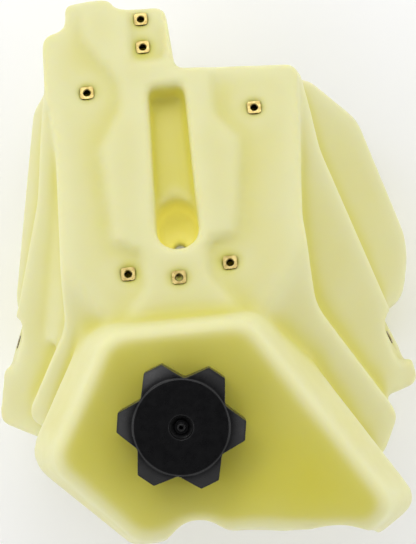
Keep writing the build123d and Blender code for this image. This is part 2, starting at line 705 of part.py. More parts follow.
with BuildPart() as vent_nipple:
    with BuildSketch(CAP_PLANE.offset(BARREL_Z)):
        Circle(VENT_BARREL_R)
    extrude(amount=VENT_BARREL)
    with BuildSketch(CAP_PLANE.offset(BARREL_TOP_Z)):
        Circle(VENT_STEM_R)
    extrude(amount=NIPPLE_Z - BARREL_TOP_Z)
    with BuildSketch(CAP_PLANE.offset(NIPPLE_Z)):
        Circle(VENT_NIPPLE_R)
    extrude(amount=CAP_TOP_Z + VENT_NIPPLE_RISE - NIPPLE_Z)
    chamfer(vent_nipple.faces().sort_by(Axis.Z)[-1].edges(), VENT_LEAD)
    with BuildSketch(CAP_PLANE.offset(BARREL_Z)):
        Circle(VENT_BORE_R)
    extrude(amount=CAP_TOP_Z + VENT_NIPPLE_RISE - BARREL_Z, mode=Mode.SUBTRACT)
    with BuildSketch(CAP_PLANE.offset(BARREL_Z)):
        Circle(VENT_CHAMBER_R)
    extrude(amount=CHAMBER_TOP_Z - BARREL_Z, mode=Mode.SUBTRACT)
    with BuildSketch(CAP_PLANE.offset(BARREL_Z)):
        Circle(VENT_PLUG_R)
    extrude(amount=VENT_PLUG, mode=Mode.SUBTRACT)
vent_nipple.part.label = "vent_nipple"
export_step(vent_nipple.part, "parts/vent_nipple.step")

with BuildPart() as vent_ring:
    with BuildSketch(CAP_PLANE.offset(RECESS_Z + END_PLAY)):
        Circle(VENT_RING_R)
        Circle(VENT_STEM_R, mode=Mode.SUBTRACT)
    extrude(amount=VENT_RING)
vent_ring.part.label = "vent_ring"
export_step(vent_ring.part, "parts/vent_ring.step")

with BuildPart() as vent_plug:
    with BuildSketch(CAP_PLANE.offset(BARREL_Z)):
        Circle(VENT_PLUG_R)
        Circle(VENT_PLUG_HOLE_R, mode=Mode.SUBTRACT)
    extrude(amount=VENT_PLUG)
vent_plug.part.label = "vent_plug"
export_step(vent_plug.part, "parts/vent_plug.step")

ball_rise = sqrt(VENT_BALL_R**2 - VENT_PLUG_HOLE_R**2)
with BuildPart() as vent_ball:
    with Locations((*CAP_CENTRE, BARREL_Z + VENT_PLUG + ball_rise)):
        Sphere(VENT_BALL_R)
vent_ball.part.label = "vent_ball"
export_step(vent_ball.part, "parts/vent_ball.step")

# ---------------------------------------------------------------- fuel tap
FLANGE_Z = REAR_SOLE_Z - TAP_SEAL
FLANGE_BASE_Z = FLANGE_Z - TAP_FLANGE
TAP_AXIS_Z = FLANGE_Z - TAP_AXIS_DROP
TAP_BASE_Z = TAP_AXIS_Z - TAP_BODY_SIZE / 2
SPIGOT_END_Z = TAP_BASE_Z - SPIGOT_LENGTH
TAP_FACE_X = TAP_X + TAP_BODY_SIZE / 2
BORE_X = TAP_FACE_X - ROTOR_LENGTH - VALVE_SEAL - DISC_SPRING  # floor of the rotor's bore
PASSAGE_X = BORE_X - TAP_PASSAGE_R - TAP_PORT_WALL
ports = [
    (TAP_PORT_RING * cos(radians(angle)), TAP_PORT_RING * sin(radians(angle))) for angle in (30, 150, 270)
]
mount_spots = [(TAP_X, TAP_Y - TAP_BOLT_SPACING / 2), (TAP_X, TAP_Y + TAP_BOLT_SPACING / 2)]
cover_spots = [(side * COVER_SCREW_PITCH / 2, side * COVER_SCREW_PITCH / 2) for side in (1, -1)]


def rotor_plane(x):
    """A plane square to the rotor's axis; its x runs along +Y and its y along +Z."""
    return Plane(origin=(x, TAP_Y, TAP_AXIS_Z), x_dir=(0, 1, 0), z_dir=(1, 0, 0))


with BuildPart() as tap_flange_seal:
    with BuildSketch(Plane.XY.offset(FLANGE_Z)):
        with Locations((TAP_X, TAP_Y)):
            SlotCenterToCenter(TAP_BOLT_SPACING, TAP_FLANGE_WIDTH, rotation=90)
            Circle(TAP_OUTLET_R, mode=Mode.SUBTRACT)
        with Locations(*mount_spots):
            Circle(MOUNT_HOLE_R, mode=Mode.SUBTRACT)
    extrude(amount=TAP_SEAL)
tap_flange_seal.part.label = "tap_flange_seal"
export_step(tap_flange_seal.part, "parts/tap_flange_seal.step")

with BuildPart() as tap_body:
    with BuildSketch(Plane.XY.offset(FLANGE_BASE_Z)):
        with Locations((TAP_X, TAP_Y)):
            SlotCenterToCenter(TAP_BOLT_SPACING, TAP_FLANGE_WIDTH, rotation=90)
    extrude(amount=TAP_FLANGE)
    with BuildSketch(Plane.XY.offset(TAP_BASE_Z)):
        with Locations((TAP_X, TAP_Y)):
            RectangleRounded(TAP_BODY_SIZE, TAP_BODY_SIZE, TAP_CORNER_R)
    extrude(amount=FLANGE_BASE_Z - TAP_BASE_Z)
    with BuildSketch(Plane(origin=(PASSAGE_X, TAP_Y, 0), x_dir=(1, 0, 0), z_dir=(0, -1, 0))):
        with BuildLine():
            Polyline(
                (0, TAP_BASE_Z + 1),
                (SPIGOT_R, TAP_BASE_Z + 1),
                (SPIGOT_R, SPIGOT_END_Z + SPIGOT_LEAD),
                (SPIGOT_R - SPIGOT_LEAD, SPIGOT_END_Z),
                (0, SPIGOT_END_Z),
                close=True,
            )
        make_face()
    revolve(axis=Axis((PASSAGE_X, TAP_Y, 0), (0, 0, 1)))
    # bore of the rotor and its ports
    with BuildSketch(rotor_plane(BORE_X)):
        Circle(ROTOR_R + RUNNING)
    extrude(amount=TAP_FACE_X - BORE_X, mode=Mode.SUBTRACT)
    with BuildSketch(rotor_plane(PASSAGE_X)):
        with Locations(*ports):
            Circle(TAP_PORT_R)
    extrude(amount=BORE_X - PASSAGE_X, mode=Mode.SUBTRACT)
    # main and reserve passages from the tank, outlet passage to the spigot
    for y, z in ports[:2]:
        with BuildSketch(Plane(origin=(PASSAGE_X, TAP_Y + y, TAP_AXIS_Z + z))):
            Circle(TAP_PASSAGE_R)
        extrude(amount=TAP_AXIS_DROP - z, mode=Mode.SUBTRACT)
    with BuildSketch(Plane(origin=(PASSAGE_X, TAP_Y, SPIGOT_END_Z))):
        Circle(SPIGOT_BORE_R)
    extrude(amount=SPIGOT_LENGTH + TAP_BODY_SIZE / 2 - TAP_PORT_RING, mode=Mode.SUBTRACT)
    # seat of the standpipe
    with BuildSketch(Plane(origin=(PASSAGE_X, TAP_Y + ports[0][0], FLANGE_Z))):
        Circle(STANDPIPE_R)
    extrude(amount=-TAP_FLANGE, mode=Mode.SUBTRACT)
    with BuildSketch(Plane.XY.offset(FLANGE_BASE_Z)):
        with Locations(*mount_spots):
            Circle(MOUNT_HOLE_R)
    extrude(amount=TAP_FLANGE, mode=Mode.SUBTRACT)
    with BuildSketch(rotor_plane(TAP_FACE_X)):
        with Locations(*cover_spots):
            Circle(COVER_SCREW_R)
    extrude(amount=-COVER_SCREW_LENGTH, mode=Mode.SUBTRACT)
tap_body.part.label = "tap_body"
export_step(tap_body.part, "parts/tap_body.step")

standpipe_centre = (PASSAGE_X, TAP_Y + ports[0][0], FLANGE_Z)
with BuildPart() as tap_standpipe:
    with BuildSketch(Plane(origin=standpipe_centre).offset(-TAP_FLANGE)):
        Circle(STANDPIPE_R)
        Circle(STANDPIPE_BORE_R, mode=Mode.SUBTRACT)
    extrude(amount=TAP_FLANGE + STANDPIPE_HEIGHT)
tap_standpipe.part.label = "tap_standpipe"
export_step(tap_standpipe.part, "parts/tap_standpipe.step")

STRAINER_HIGH = STANDPIPE_HEIGHT + STRAINER_ROOM  # above the flange
with BuildPart() as tap_strainer:
    with BuildSketch(Plane(origin=standpipe_centre).offset(STRAINER_LOW)):
        Circle(STRAINER_R)
    extrude(amount=STRAINER_HIGH - STRAINER_LOW)
    with BuildSketch(Plane(origin=standpipe_centre).offset(STRAINER_LOW)):
        Circle(STRAINER_R - STRAINER_WALL)
    extrude(amount=STRAINER_HIGH - STRAINER_LOW - STRAINER_WALL, mode=Mode.SUBTRACT)
    # windows of the cage
    for row in range(WINDOW_ROWS):
        window_low = STRAINER_LOW + WINDOW_START + WINDOW_PITCH * row
        with BuildSketch(Plane(origin=standpipe_centre).offset(window_low)):
            Rectangle(WINDOW_WIDTH, 4 * STRAINER_R)
            Rectangle(4 * STRAINER_R, WINDOW_WIDTH)
        extrude(amount=WINDOW_HEIGHT, mode=Mode.SUBTRACT)
    # foot that grips the standpipe
    with BuildSketch(Plane(origin=standpipe_centre).offset(STRAINER_LOW)):
        Circle(STRAINER_R)
        Circle(STANDPIPE_R, mode=Mode.SUBTRACT)
    extrude(amount=STRAINER_FOOT)
tap_strainer.part.label = "tap_strainer"
export_step(tap_strainer.part, "parts/tap_strainer.step")

with BuildPart() as tap_valve_seal:
    with BuildSketch(rotor_plane(BORE_X)):
        Circle(ROTOR_R + RUNNING)
        with Locations(*ports):
            Circle(TAP_PORT_R, mode=Mode.SUBTRACT)
    extrude(amount=VALVE_SEAL)
tap_valve_seal.part.label = "tap_valve_seal"
export_step(tap_valve_seal.part, "parts/tap_valve_seal.step")

ROTOR_X = BORE_X + VALVE_SEAL
SHOULDER_X = ROTOR_X + ROTOR_LENGTH
HUB_X = TAP_FACE_X + COVER + LEVER_GAP
STEM_END_X = HUB_X + LEVER_THICKNESS
with BuildPart() as tap_rotor:
    with BuildSketch(rotor_plane(ROTOR_X)):
        Circle(ROTOR_R)
    extrude(amount=ROTOR_LENGTH)
    with BuildSketch(rotor_plane(SHOULDER_X)):
        Circle(STEM_R)
    extrude(amount=HUB_X - SHOULDER_X)
    with BuildSketch(rotor_plane(HUB_X)):
        Circle(STEM_END_R)
        with Locations((STEM_FLAT + STEM_END_R, 0)):
            Rectangle(2 * STEM_END_R, 4 * STEM_END_R, mode=Mode.SUBTRACT)
    extrude(amount=LEVER_THICKNESS)
    # groove that joins the main port to the outlet
    with BuildSketch(rotor_plane(ROTOR_X)):
        with Locations(((ports[0][0] + ports[2][0]) / 2, (ports[0][1] + ports[2][1]) / 2)):
            SlotCenterToCenter(TAP_PORT_RING * sqrt(3), 2 * TAP_PORT_R, rotation=60)
    extrude(amount=ROTOR_GROOVE, mode=Mode.SUBTRACT)
    with BuildSketch(rotor_plane(STEM_END_X)):
        Circle(LEVER_SCREW_R)
    extrude(amount=-LEVER_HOLE, mode=Mode.SUBTRACT)
tap_rotor.part.label = "tap_rotor"
export_step(tap_rotor.part, "parts/tap_rotor.step")

with BuildPart() as tap_disc_spring:
    with BuildSketch(Plane(origin=(0, TAP_Y, TAP_AXIS_Z), x_dir=(1, 0, 0), z_dir=(0, -1, 0))):
        with BuildLine():
            Polyline(
                (SHOULDER_X, STEM_R + SPRING_HOLE_GAP),
                (SHOULDER_X + SPRING_SHEET, STEM_R + SPRING_HOLE_GAP),
                (TAP_FACE_X, ROTOR_R - SPRING_RIM_GAP),
                (TAP_FACE_X - SPRING_SHEET, ROTOR_R - SPRING_RIM_GAP),
                close=True,
            )
        make_face()
    revolve(axis=Axis((0, TAP_Y, TAP_AXIS_Z), (1, 0, 0)))
tap_disc_spring.part.label = "tap_disc_spring"
export_step(tap_disc_spring.part, "parts/tap_disc_spring.step")

with BuildPart() as tap_cover_plate:
    with BuildSketch(rotor_plane(TAP_FACE_X)):
        RectangleRounded(TAP_BODY_SIZE, TAP_BODY_SIZE, TAP_CORNER_R)
        Circle(STEM_R + RUNNING, mode=Mode.SUBTRACT)
        with Locations(*cover_spots):
            Circle(COVER_SCREW_R + COVER_HOLE_GAP, mode=Mode.SUBTRACT)
    extrude(amount=COVER)
tap_cover_plate.part.label = "tap_cover_plate"
export_step(tap_cover_plate.part, "parts/tap_cover_plate.step")


def small_screw(spot, x, shank_r, length):
    """A pan-head screw along -X with a hexagon socket, its head seated at x."""
    with BuildPart() as screw:
        with BuildSketch(rotor_plane(x)):
            with Locations(spot):
                Circle(2 * COVER_SCREW_R)
        extrude(amount=COVER_SCREW_R)
        fillet(screw.faces().sort_by(Axis.X)[-1].edges(), 0.6)
        with BuildSketch(rotor_plane(x + COVER_SCREW_R)):
            with Locations(spot):
                RegularPolygon(1.1, 6)
        extrude(amount=-1.0, mode=Mode.SUBTRACT)
        with BuildSketch(rotor_plane(x)):
            with Locations(spot):
                Circle(shank_r)
        extrude(amount=-length)
    return screw.part


cover_screws = []
for spot in cover_spots:
    screw = small_screw(spot, TAP_FACE_X + COVER, COVER_SCREW_R - THREAD_FIT, COVER_SCREW_LENGTH)
    cover_screws.append(screw)
export_step(Compound(label="tap_cover_screws", children=cover_screws), "parts/tap_cover_screws.step")

lever_screw = small_screw((0, 0), STEM_END_X, LEVER_SCREW_R - THREAD_FIT, LEVER_SCREW_LENGTH)
lever_screw.label = "tap_lever_screw"
export_step(lever_screw, "parts/tap_lever_screw.step")

with BuildPart() as tap_lever:
    with BuildSketch(rotor_plane(HUB_X)):
        Circle(LEVER_HUB_R)
        with Locations((0, -LEVER_LENGTH)):
            Circle(LEVER_TIP_R)
        make_hull()
    extrude(amount=LEVER_THICKNESS)
    fillet(tap_lever.faces().sort_by(Axis.X)[-1].edges(), LEVER_EDGE_R)
    with BuildSketch(rotor_plane(HUB_X)):
        Circle(STEM_END_R)
        with Locations((STEM_FLAT + STEM_END_R, 0)):
            Rectangle(2 * STEM_END_R, 4 * STEM_END_R, mode=Mode.SUBTRACT)
    extrude(amount=LEVER_THICKNESS, mode=Mode.SUBTRACT)
tap_lever.part.label = "tap_lever"
export_step(tap_lever.part, "parts/tap_lever.step")


def mount_screw(spot):
    with BuildPart() as screw:
        with BuildSketch(Plane(origin=(*spot, FLANGE_BASE_Z - WASHER - MOUNT_HEAD))):
            RegularPolygon(MOUNT_HEAD_FLATS / 2, 6, major_radius=False)
        extrude(amount=MOUNT_HEAD)
        with BuildSketch(Plane(origin=(*spot, FLANGE_BASE_Z - WASHER))):
            Circle(MOUNT_SCREW_R)
        extrude(amount=WASHER + TAP_FLANGE + TAP_SEAL - MOUNT_CORE_GAP)
        with BuildSketch(Plane(origin=(*spot, REAR_SOLE_Z - MOUNT_CORE_GAP))):
            Circle(INSERT_BORE_R - THREAD_FIT)
        extrude(amount=MOUNT_REACH)
    return screw.part


def mount_washer(spot):
    with BuildPart() as washer:
        with BuildSketch(Plane(origin=(*spot, FLANGE_BASE_Z - WASHER))):
            Circle(WASHER_R)
            Circle(MOUNT_HOLE_R, mode=Mode.SUBTRACT)
        extrude(amount=WASHER)
    return washer.part


mount_screws = [mount_screw(spot) for spot in mount_spots]
export_step(Compound(label="tap_mount_screws", children=mount_screws), "parts/tap_mount_screws.step")
mount_washers = [mount_washer(spot) for spot in mount_spots]
export_step(Compound(label="tap_mount_washers", children=mount_washers), "parts/tap_mount_washers.step")
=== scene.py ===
"""Off-road motorcycle fuel tank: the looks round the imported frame."""

import json
import math

import bmesh
import bpy
import numpy as np
from mathutils import Matrix, Vector


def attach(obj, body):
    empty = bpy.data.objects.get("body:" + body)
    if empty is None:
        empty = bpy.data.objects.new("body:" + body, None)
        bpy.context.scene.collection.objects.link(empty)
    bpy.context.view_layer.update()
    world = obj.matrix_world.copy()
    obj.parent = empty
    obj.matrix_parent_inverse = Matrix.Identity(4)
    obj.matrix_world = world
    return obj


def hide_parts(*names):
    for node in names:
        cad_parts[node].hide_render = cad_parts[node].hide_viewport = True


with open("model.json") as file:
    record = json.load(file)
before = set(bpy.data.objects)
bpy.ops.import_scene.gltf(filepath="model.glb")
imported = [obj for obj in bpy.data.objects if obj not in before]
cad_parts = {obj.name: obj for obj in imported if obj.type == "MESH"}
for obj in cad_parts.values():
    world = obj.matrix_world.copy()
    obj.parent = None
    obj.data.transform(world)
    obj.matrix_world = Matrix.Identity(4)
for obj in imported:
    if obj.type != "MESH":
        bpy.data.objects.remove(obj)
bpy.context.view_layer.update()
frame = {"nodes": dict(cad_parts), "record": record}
scene = bpy.context.scene
MM = 0.001


def shade_smooth(mesh):
    for polygon in mesh.polygons:
        polygon.use_smooth = True


# ---------------------------------------------------------------- camera, floor and lights
CAMERA_AT = Vector((0.0195, -0.0156, 1.25))
CAMERA_TURN = math.radians(-5.0)
LENS = 108.5
FLOOR_Z = -0.150
WORLD = 1.22  # round the object
WORLD_OVERHEAD = 0.05  # the dark studio above it
OVERHEAD_FROM, OVERHEAD_TO = 0.66, 0.90  # heights between which the one turns into the other

camera_data = bpy.data.cameras.new("camera")
camera_data.lens = LENS
camera_data.sensor_width = 36.0
camera_data.sensor_fit = "AUTO"
camera = bpy.data.objects.new("camera", camera_data)
camera.location = CAMERA_AT
camera.rotation_euler = (0.0, 0.0, CAMERA_TURN)
scene.collection.objects.link(camera)
scene.camera = camera

world = bpy.data.worlds.new("studio")
scene.world = world
world.use_nodes = True
sky, sky_links = world.node_tree.nodes, world.node_tree.links
direction = sky.new("ShaderNodeTexCoord")
apart = sky.new("ShaderNodeSeparateXYZ")
sky_links.new(direction.outputs["Generated"], apart.inputs["Vector"])
fall = sky.new("ShaderNodeMapRange")
fall.interpolation_type = "SMOOTHSTEP"
fall.inputs["From Min"].default_value = OVERHEAD_FROM
fall.inputs["From Max"].default_value = OVERHEAD_TO
fall.inputs["To Min"].default_value = WORLD
fall.inputs["To Max"].default_value = WORLD_OVERHEAD
sky_links.new(apart.outputs["Z"], fall.inputs["Value"])
sky_links.new(fall.outputs["Result"], sky["Background"].inputs["Strength"])
sky["Background"].inputs["Color"].default_value = (1.0, 1.0, 1.0, 1.0)
scene.view_settings.view_transform = "Standard"


def softbox(name, at, look, size, power):
    data = bpy.data.lights.new(name, "AREA")
    data.shape = "RECTANGLE"
    data.size, data.size_y = size
    data.energy = power
    lamp = bpy.data.objects.new(name, data)
    lamp.location = at
    lamp.rotation_euler = (Vector(look) - Vector(at)).to_track_quat("-Z", "Y").to_euler()
    scene.collection.objects.link(lamp)


softbox("key_rear", (0.1, 1.1, 0.9), (0, 0, 0), (1.0, 0.6), 4)
softbox("fill_left", (1.1, -0.1, 0.7), (0, 0, 0), (0.8, 0.8), 1.5)
softbox("fill_right", (-1.1, -0.1, 0.7), (0, 0, 0), (0.8, 0.8), 2)
softbox("cap_shine", (-0.55, 0.75, 1.15), (0, -0.1, 0.15), (0.5, 0.5), 2.5)


# ---------------------------------------------------------------- materials
class Mat:
    """A procedural material; its parts are laid out by the calls below."""

    def __init__(self, name, rough, metal=0.0):
        self.made = bpy.data.materials.new(name)
        self.made.use_nodes = True
        self.nodes, self.links = self.made.node_tree.nodes, self.made.node_tree.links
        self.shader = self.nodes["Principled BSDF"]
        self.shader.inputs["Roughness"].default_value = rough
        self.shader.inputs["Metallic"].default_value = metal
        place = self.nodes.new("ShaderNodeTexCoord")
        self.place = place.outputs["Object"]
        self.normal = None

    def noise(self, scale, detail=3.0, rough=0.55):
        made = self.nodes.new("ShaderNodeTexNoise")
        made.inputs["Scale"].default_value = scale
        made.inputs["Detail"].default_value = detail
        made.inputs["Roughness"].default_value = rough
        self.links.new(self.place, made.inputs["Vector"])
        return made.outputs["Fac"]

    def spread(self, source, low, high):
        made = self.nodes.new("ShaderNodeMapRange")
        made.inputs["From Min"].default_value = 0.3
        made.inputs["From Max"].default_value = 0.7
        made.inputs["To Min"].default_value = low
        made.inputs["To Max"].default_value = high
        self.links.new(source, made.inputs["Value"])
        return made.outputs["Result"]

    def ramp(self, source, stops):
        made = self.nodes.new("ShaderNodeValToRGB")
        band = made.color_ramp
        band.elements[0].position, band.elements[0].color = stops[0][0], (*stops[0][1], 1)
        band.elements[1].position, band.elements[1].color = stops[-1][0], (*stops[-1][1], 1)
        for at, color in stops[1:-1]:
            band.elements.new(at).color = (*color, 1)
        self.links.new(source, made.inputs["Fac"])
        return made.outputs["Color"]

    def color(self, source):
        self.links.new(source, self.shader.inputs["Base Color"])

    def rough(self, source):
        self.links.new(source, self.shader.inputs["Roughness"])

    def soft_edges(self, radius):
        made = self.nodes.new("ShaderNodeBevel")
        made.samples = 6
        made.inputs["Radius"].default_value = radius
        self.normal = made.outputs["Normal"]
        self.links.new(self.normal, self.shader.inputs["Normal"])

    def bump(self, source, strength, depth):
        made = self.nodes.new("ShaderNodeBump")
        made.inputs["Strength"].default_value = strength
        made.inputs["Distance"].default_value = depth
        self.links.new(source, made.inputs["Height"])
        if self.normal is not None:
            self.links.new(self.normal, made.inputs["Normal"])
        self.normal = made.outputs["Normal"]
        self.links.new(self.normal, self.shader.inputs["Normal"])


def polyethylene(name, with_painted_shade_and_glow):
    """Natural polyethylene, with painted shade when asked: paler on ridges as a painted highlight, deeper
    and yellower in hollows and on the top face as painted shade.
    """
    mat = Mat(name, 0.42)
    # with the painted shade attribute the ramp runs from pale (painted highlight on ridges) to deep
    # yellow (painted shade in hollows and on the top face); without it the colour stays near 0.4
    stops = [
        (0.0, (0.70, 0.69, 0.40)),
        (0.35, (0.66, 0.635, 0.30)),
        (0.65, (0.61, 0.57, 0.13)),
        (1.0, (0.59, 0.535, 0.045)),
    ]
    mottle = mat.spread(mat.noise(14.0, 2.0), -0.05, 0.05)
    total = mat.nodes.new("ShaderNodeMath")
    total.operation = "ADD"
    if with_painted_shade_and_glow:
        painted_shade = mat.nodes.new("ShaderNodeAttribute")
        painted_shade.attribute_name = "painted_shade"
        mat.links.new(painted_shade.outputs["Fac"], total.inputs[0])
    else:
        total.inputs[0].default_value = 0.4
    mat.links.new(mottle, total.inputs[1])
    mat.color(mat.ramp(total.outputs["Value"], stops))
    mat.rough(mat.spread(mat.noise(60.0), 0.36, 0.50))
    mat.shader.inputs["Subsurface Weight"].default_value = 0.55
    mat.shader.inputs["Subsurface Radius"].default_value = (1.0, 0.8, 0.25)
    mat.shader.inputs["Subsurface Scale"].default_value = 0.010
    mat.shader.inputs["Specular IOR Level"].default_value = 0.4
    if with_painted_shade_and_glow:
        # painted light: an emission stands in for the light that comes through the walls from below into
        # the deep hollows
        painted_glow = mat.nodes.new("ShaderNodeAttribute")
        painted_glow.attribute_name = "painted_glow"
        mat.links.new(painted_glow.outputs["Fac"], mat.shader.inputs["Emission Strength"])
        mat.shader.inputs["Emission Color"].default_value = (0.95, 0.86, 0.20, 1)
    mat.bump(mat.noise(1300.0, 2.0), 0.20, 0.0002)
    mat.bump(mat.noise(32.0, 2.0), 0.25, 0.0012)
    return mat.made


def black_plastic(name, rough, grain):
    mat = Mat(name, rough)
    blacks = [(0.3, (0.003, 0.003, 0.0035)), (0.7, (0.006, 0.006, 0.0065))]
    mat.color(mat.ramp(mat.noise(180.0), blacks))
    mat.shader.inputs["Specular IOR Level"].default_value = 0.3
    mat.rough(mat.spread(mat.noise(220.0), rough - 0.02, rough + 0.04))
    mat.soft_edges(0.0006)
    mat.bump(mat.noise(grain, 2.0), 0.25, 0.0001)
    return mat.made


def metal(name, dark, light, rough, grain, depth, hole_shade=0.0):
    """Bright metal; hole_shade darkens it inside holes narrower than about that distance."""
    mat = Mat(name, rough, 1.0)
    tint = mat.ramp(mat.noise(260.0), [(0.3, dark), (0.7, light)])
    if hole_shade:
        open_sky = mat.nodes.new("ShaderNodeAmbientOcclusion")
        open_sky.samples = 8
        open_sky.inputs["Distance"].default_value = hole_shade
        mat.links.new(tint, open_sky.inputs["Color"])
        darker = mat.nodes.new("ShaderNodeMixRGB")
        darker.blend_type = "MULTIPLY"
        darker.inputs["Fac"].default_value = 1.0
        mat.links.new(open_sky.outputs["Color"], darker.inputs["Color1"])
        deepen = mat.nodes.new("ShaderNodeMath")
        deepen.operation = "POWER"
        deepen.inputs[1].default_value = 2.5
        mat.links.new(open_sky.outputs["AO"], deepen.inputs[0])
        mat.links.new(deepen.outputs["Value"], darker.inputs["Color2"])
        tint = darker.outputs["Color"]
    mat.color(tint)
    mat.rough(mat.spread(mat.noise(500.0), rough - 0.08, rough + 0.10))
    mat.soft_edges(0.0003)
    mat.bump(mat.noise(grain, 3.0), 0.3, depth)
    return mat.made


def rubber_mat(name):
    mat = Mat(name, 0.65)
    blacks = [(0.3, (0.012, 0.012, 0.012)), (0.7, (0.022, 0.022, 0.021))]
    mat.color(mat.ramp(mat.noise(220.0), blacks))
    mat.bump(mat.noise(1500.0), 0.3, 0.0001)
    return mat.made


skin_mat = polyethylene("natural_polyethylene", True)
natural = polyethylene("natural_polyethylene_plain", False)
black = black_plastic("black_cap_plastic", 0.28, 1600.0)
vent_black = black_plastic("black_vent_plastic", 0.30, 2200.0)
brass = metal("turned_brass", (0.30, 0.22, 0.07), (0.55, 0.44, 0.18), 0.32, 1800.0, 0.00005, 0.006)
steel = metal("zinc_plated_steel", (0.42, 0.43, 0.44), (0.60, 0.60, 0.58), 0.32, 1500.0, 0.00005)
alloy = metal("die_cast_alloy", (0.36, 0.36, 0.37), (0.50, 0.50, 0.51), 0.50, 900.0, 0.0001)
rubber = rubber_mat("nitrile_rubber")
nylon = polyethylene("natural_nylon", False)

by_slot = {
    "shell": natural, "neck": natural, "brass": brass, "cap": black, "seal": rubber, "vent": vent_black,
    "steel": steel, "tap": alloy, "lever": vent_black, "mesh": nylon,
}
slots = {row["node"]: row["material_slot"] for row in frame["record"]["subparts"]}
for name, obj in frame["nodes"].items():
    obj.data.materials.clear()
    obj.data.materials.append(by_slot[slots[name]])

floor_mat = Mat("floor_white", 0.85)
WHITES = [(0.3, (0.975, 0.975, 0.98)), (0.7, (0.985, 0.985, 0.99))]
floor_mat.color(floor_mat.ramp(floor_mat.noise(3.0), WHITES))
bpy.ops.mesh.primitive_plane_add(size=8.0, location=(0, 0, FLOOR_Z))
floor = bpy.context.object
floor.name = "studio_floor"
floor.data.materials.append(floor_mat.made)

# ---------------------------------------------------------------- the moulded skin
VOXEL = 0.0025
SMOOTHING = 9  # rounds that take the voxel steps out
HOLLOW_REACH = 90  # rounds that even out the surface its hollows are measured from
HOLLOW_DEPTH = 0.003
PAINTED_GLOW = 0.36
DECK_SLOPE = math.radians(20.0)
SEGMENTS = [name for name, slot in slots.items() if slot == "shell"]


def plug(bm, x, y, z0, z1, radius):
    """Closes an opening so that the cavity doesn't show in the skin."""
    bmesh.ops.create_cone(
        bm, cap_ends=True, segments=48, radius1=radius, radius2=radius, depth=z1 - z0,
        matrix=Matrix.Translation((x, y, (z0 + z1) / 2)),
    )


bm = bmesh.new()
for name in SEGMENTS:
    bm.from_mesh(frame["nodes"][name].data)
plug(bm, -7.5 * MM, -118 * MM, 105 * MM, 122 * MM, 29.5 * MM)
plug(bm, 96 * MM, 92 * MM, -92 * MM, -80 * MM, 13 * MM)
rough_mesh = bpy.data.meshes.new("tank_skin")
bm.to_mesh(rough_mesh)
bm.free()
skin = bpy.data.objects.new("tank_skin", rough_mesh)
scene.collection.objects.link(skin)
remesh = skin.modifiers.new("remesh", "REMESH")
remesh.mode = "VOXEL"
remesh.voxel_size = VOXEL
remesh.use_smooth_shade = True
bpy.context.view_layer.update()
evaluated = skin.evaluated_get(bpy.context.evaluated_depsgraph_get())
fine = bpy.data.meshes.new_from_object(evaluated)
skin.modifiers.clear()
skin.data = fine

count = len(fine.vertices)
co = np.zeros(count * 3, np.float32)
fine.vertices.foreach_get("co", co)
co = co.reshape(-1, 3).astype(float)
edges = np.zeros(len(fine.edges) * 2, np.int32)
fine.edges.foreach_get("vertices", edges)
edges = edges.reshape(-1, 2)
degree = np.bincount(edges.ravel(), minlength=count).astype(float)


def relax(points, rounds, factor=0.5):
    for _ in range(rounds):
        total = np.zeros_like(points)
        for axis in range(points.shape[1]):
            total[:, axis] = np.bincount(edges[:, 0], points[edges[:, 1], axis], count)
            total[:, axis] += np.bincount(edges[:, 1], points[edges[:, 0], axis], count)
        points = points + factor * (total / degree[:, None] - points)
    return points


co = relax(co, SMOOTHING)
fine.vertices.foreach_set("co", co.astype(np.float32).ravel())
fine.update()
normals = np.zeros(count * 3, np.float32)
fine.vertices.foreach_get("normal", normals)
normals = normals.reshape(-1, 3)
# painted shade: the colour deepens in hollows and on the dome's upward-facing top face, and pales on
# ridges as a painted highlight
hollow = ((relax(co, HOLLOW_REACH) - co) * normals).sum(axis=1) / HOLLOW_DEPTH
facing_up = np.clip((normals[:, 2] - 0.90) / 0.09, 0.0, 1.0)
on_dome = np.clip((co[:, 2] - 0.08) / 0.03, 0.0, 1.0)
upward = facing_up * on_dome
upward = relax(upward[:, None], 8)[:, 0]
painted_shade = 0.38 + 0.42 * np.clip(hollow, -0.6 + 0.4 * upward, 1.0) + 0.46 * upward
# painted shadow: a soft dark ring round each insert
SEATS = [
    (-15, 181.5, -3.3), (-15, 159, 4.9), (-59.5, 126.5, 17.8), (64.5, 104, 26.0), (-38, -12, 68.2),
    (-1.5, -17.5, 74.5), (36, -10, 67.5), (160, -80, -62), (-136.5, -58, -62),
]
for seat in SEATS:
    away = np.linalg.norm(co - np.array(seat) * MM, axis=1)
    painted_shade = painted_shade + 0.35 * np.exp(-((away - 0.005) / 0.004) ** 2)
# painted light: the glow grows with depth below the deck inside the pocket and the bolt well
along = co[:, 1] * math.cos(DECK_SLOPE) - co[:, 2] * math.sin(DECK_SLOPE)
height = co[:, 1] * math.sin(DECK_SLOPE) + co[:, 2] * math.cos(DECK_SLOPE)
inside = (np.abs(co[:, 0]) < 0.0175) & (along > -0.021) & (along < 0.114) & (height > 0.009)
painted_glow = np.where(inside, np.clip((0.062 - height) / 0.050, 0.0, 1.0), 0.0)
painted_glow = PAINTED_GLOW * relax(painted_glow[:, None], 3)[:, 0] ** 0.9
layers = {"painted_shade": np.clip(relax(painted_shade[:, None], 6)[:, 0], 0.0, 1.0), "painted_glow": painted_glow}
for title, values in layers.items():
    layer = fine.attributes.new(title, "FLOAT", "POINT")
    layer.data.foreach_set("value", values.astype(np.float32))
fine.materials.clear()
fine.materials.append(skin_mat)
shade_smooth(fine)
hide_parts(*SEGMENTS)
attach(skin, "tank")

